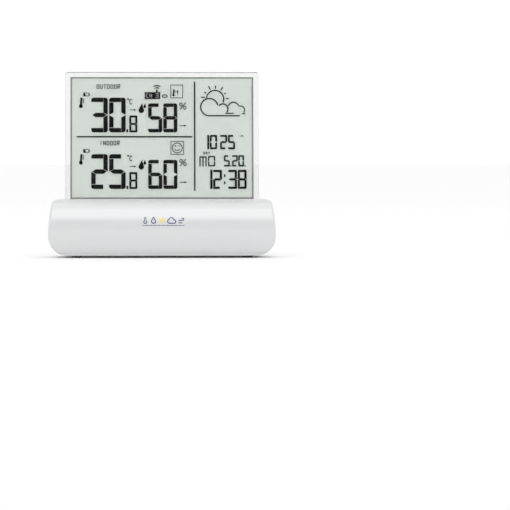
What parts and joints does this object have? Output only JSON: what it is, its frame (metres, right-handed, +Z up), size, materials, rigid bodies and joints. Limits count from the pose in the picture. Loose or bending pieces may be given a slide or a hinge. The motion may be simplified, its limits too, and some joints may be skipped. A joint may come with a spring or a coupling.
{
  "type": "table-top digital weather station",
  "caption": "Desktop weather station: upright liquid crystal panel in a clear surround, standing in a rounded white battery base with rear buttons.",
  "frame": {"origin": "on the table, under the middle of the base", "axes": "+Z up, +X to the right as seen by someone reading the display, the display faces -Y"},
  "size_m": [0.155, 0.046, 0.1263],
  "materials": {
    "white_gloss": "high gloss white moulding",
    "white_satin": "fine satin white moulding",
    "zinc_steel": "zinc plated",
    "dark_rubber": "matt",
    "clear_acrylic": "polished clear acrylic",
    "polariser_film": "smooth neutral film",
    "cell_glass": "polished",
    "segment_ink": "near black",
    "edge_seal": "matt grey",
    "reflector_film": "grey-green diffuse film",
    "circuit_board": "solder mask",
    "lamp_resin": "clear resin over phosphor",
    "ribbon_film": "polyimide film",
    "cream_plastic": "natural nylon",
    "black_resin": "moulded resin",
    "component_tan": "ceramic",
    "module_blue": "solder mask",
    "copper_wire": "lacquered copper",
    "cell_sleeve": "printed sleeve",
    "nickel_steel": "nickel plated",
    "grey_key": "satin"
  },
  "bodies": {
    "base": {"upper_housing": "white_gloss", "lower_housing": "white_satin", "housing_screws": "zinc_steel", "rubber_feet": "dark_rubber", "front_window": "clear_acrylic", "rear_window": "clear_acrylic", "lcd_front_polariser": "polariser_film", "lcd_front_glass": "cell_glass", "lcd_segments": "segment_ink", "lcd_edge_seal": "edge_seal", "lcd_rear_glass": "cell_glass", "lcd_rear_polariser": "polariser_film", "lcd_reflector": "reflector_film", "panel_cradle": "white_satin", "cradle_screws": "zinc_steel", "backlight_strip": "circuit_board", "backlight_leds": "lamp_resin", "flex_ribbon": "ribbon_film", "ribbon_connector": "cream_plastic", "main_board": "circuit_board", "board_screws": "zinc_steel", "controller_chip": "black_resin", "board_components": "component_tan", "switch_bodies": "black_resin", "receiver_module": "module_blue", "antenna_coil": "copper_wire", "climate_sensor": "white_satin", "buzzer": "black_resin", "battery_cells": "cell_sleeve", "battery_springs": "nickel_steel", "contact_plates": "nickel_steel", "slide_switch_body": "black_resin"},
    "battery_door": {"battery_door": "white_satin"},
    "door_latch": {"door_latch": "white_satin"},
    "snooze_key": {"snooze_light_key": "grey_key"},
    "snooze_switch": {"snooze_plunger": "cream_plastic"},
    "reset_switch": {"reset_plunger": "cream_plastic"},
    "slide_knob": {"slide_switch_knob": "black_resin"},
    "set_key": {"set_button": "grey_key"},
    "set_switch": {"set_plunger": "cream_plastic"},
    "alarm_key": {"alarm_button": "grey_key"},
    "alarm_switch": {"alarm_plunger": "cream_plastic"},
    "channel_key": {"channel_button": "grey_key"},
    "channel_switch": {"channel_plunger": "cream_plastic"},
    "up_key": {"up_button": "grey_key"},
    "up_switch": {"up_plunger": "cream_plastic"},
    "down_key": {"down_button": "grey_key"},
    "down_switch": {"down_plunger": "cream_plastic"},
    "memory_key": {"memory_button": "grey_key"},
    "memory_switch": {"memory_plunger": "cream_plastic"}
  },
  "joints": [
    {"name": "battery_door_hinge", "type": "hinge", "parent": "base", "child": "battery_door", "pos_m": [-0.0289, 0, 0.0021], "axis": [0, 1, 0], "range_deg": [0, 80]},
    {"name": "door_latch_slide", "type": "slide", "parent": "battery_door", "child": "door_latch", "axis": [-1, 0, 0], "range_m": [0, 0.001], "stiffness_N_per_m": 300, "springref_m": -0.0004},
    {"name": "snooze_press", "type": "slide", "parent": "base", "child": "snooze_key", "axis": [0, 0, -1], "range_m": [0, 0.0005], "stiffness_N_per_m": 500, "springref_m": -0.0004},
    {"name": "snooze_switch_press", "type": "slide", "parent": "base", "child": "snooze_switch", "axis": [0, 0, -1], "range_m": [0, 0.0005]},
    {"name": "reset_press", "type": "slide", "parent": "base", "child": "reset_switch", "axis": [0, -1, 0], "range_m": [0, 0.0005], "stiffness_N_per_m": 300, "springref_m": -0.0003},
    {"name": "slide_switch_move", "type": "slide", "parent": "base", "child": "slide_knob", "axis": [1, 0, 0], "range_m": [0, 0.002]},
    {"name": "set_press", "type": "slide", "parent": "base", "child": "set_key", "axis": [0, -1, 0], "range_m": [0, 0.0005], "stiffness_N_per_m": 400, "springref_m": -0.0003},
    {"name": "set_switch_press", "type": "slide", "parent": "base", "child": "set_switch", "axis": [0, -1, 0], "range_m": [0, 0.0005]},
    {"name": "alarm_press", "type": "slide", "parent": "base", "child": "alarm_key", "axis": [0, -1, 0], "range_m": [0, 0.0005], "stiffness_N_per_m": 400, "springref_m": -0.0003},
    {"name": "alarm_switch_press", "type": "slide", "parent": "base", "child": "alarm_switch", "axis": [0, -1, 0], "range_m": [0, 0.0005]},
    {"name": "channel_press", "type": "slide", "parent": "base", "child": "channel_key", "axis": [0, -1, 0], "range_m": [0, 0.0005], "stiffness_N_per_m": 400, "springref_m": -0.0003},
    {"name": "channel_switch_press", "type": "slide", "parent": "base", "child": "channel_switch", "axis": [0, -1, 0], "range_m": [0, 0.0005]},
    {"name": "up_press", "type": "slide", "parent": "base", "child": "up_key", "axis": [0, -1, 0], "range_m": [0, 0.0005], "stiffness_N_per_m": 400, "springref_m": -0.0003},
    {"name": "up_switch_press", "type": "slide", "parent": "base", "child": "up_switch", "axis": [0, -1, 0], "range_m": [0, 0.0005]},
    {"name": "down_press", "type": "slide", "parent": "base", "child": "down_key", "axis": [0, -1, 0], "range_m": [0, 0.0005], "stiffness_N_per_m": 400, "springref_m": -0.0003},
    {"name": "down_switch_press", "type": "slide", "parent": "base", "child": "down_switch", "axis": [0, -1, 0], "range_m": [0, 0.0005]},
    {"name": "memory_press", "type": "slide", "parent": "base", "child": "memory_key", "axis": [0, -1, 0], "range_m": [0, 0.0005], "stiffness_N_per_m": 400, "springref_m": -0.0003},
    {"name": "memory_switch_press", "type": "slide", "parent": "base", "child": "memory_switch", "axis": [0, -1, 0], "range_m": [0, 0.0005]}
  ],
  "couplings": [
    {"joint": "snooze_switch_press", "follows": "snooze_press", "ratio": 1},
    {"joint": "set_switch_press", "follows": "set_press", "ratio": 1},
    {"joint": "alarm_switch_press", "follows": "alarm_press", "ratio": 1},
    {"joint": "channel_switch_press", "follows": "channel_press", "ratio": 1},
    {"joint": "up_switch_press", "follows": "up_press", "ratio": 1},
    {"joint": "down_switch_press", "follows": "down_press", "ratio": 1},
    {"joint": "memory_switch_press", "follows": "memory_press", "ratio": 1}
  ]
}
